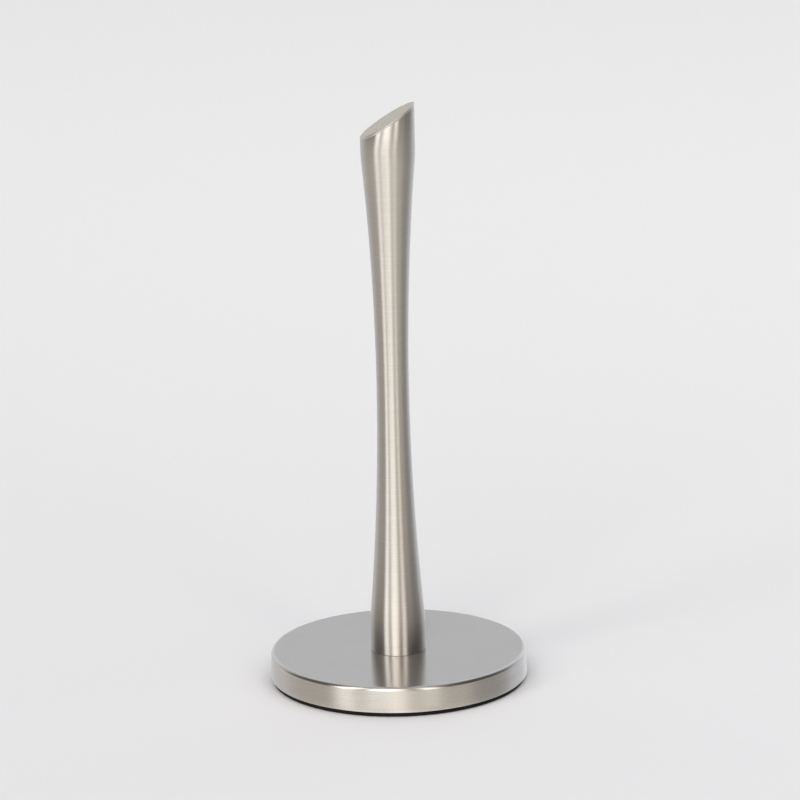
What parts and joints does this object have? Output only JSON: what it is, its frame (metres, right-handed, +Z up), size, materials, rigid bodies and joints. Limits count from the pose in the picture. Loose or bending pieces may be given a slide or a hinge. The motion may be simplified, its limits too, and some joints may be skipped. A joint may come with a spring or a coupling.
{
  "type": "paper towel holder",
  "caption": "Countertop roll holder: a waisted brushed-steel post with a slant-cut, capped top, bolted from beneath to a weighted round base on a rubber pad.",
  "frame": {"origin": "centre of the round face that the holder stands on, on the post's axis at table height", "axes": "+Z up along the post; +X the way the slanted top rises, within 7 degrees; -Y the front"},
  "size_m": [0.15, 0.15, 0.35],
  "materials": {
    "brushed_shell": "brushed stainless, fine straight grain on the top and a fine ring grain round the wall",
    "brushed_post": "brushed stainless, fine ring grain round the tube",
    "brushed_cap": "satin ground stainless plate",
    "cast_iron": "rough cast, dark",
    "zinc_plate": "bright zinc plate",
    "black_rubber": "matt black, fine grain"
  },
  "bodies": {
    "base": {"base_cover": "brushed_shell", "base_weight": "cast_iron", "base_plate": "zinc_plate", "non_slip_pad": "black_rubber", "flat_washer": "zinc_plate", "spring_washer": "zinc_plate"},
    "bolt": {"fixing_bolt": "zinc_plate"},
    "post": {"post_tube": "brushed_post", "top_cap": "brushed_cap", "post_foot": "zinc_plate", "weld_nut": "zinc_plate"}
  },
  "joints": [
    {"name": "bolt_turn", "type": "hinge", "parent": "base", "child": "bolt", "pos_m": [0, 0, 0.0035], "axis": [0, 0, -1], "range_deg": [0, 2880]},
    {"name": "post_lift", "type": "slide", "parent": "base", "child": "post", "axis": [0, 0, 1], "range_m": [0, 0.01]}
  ],
  "couplings": [
    {"joint": "bolt_turn", "follows": "post_lift", "rad_per_m": 5026.5}
  ]
}
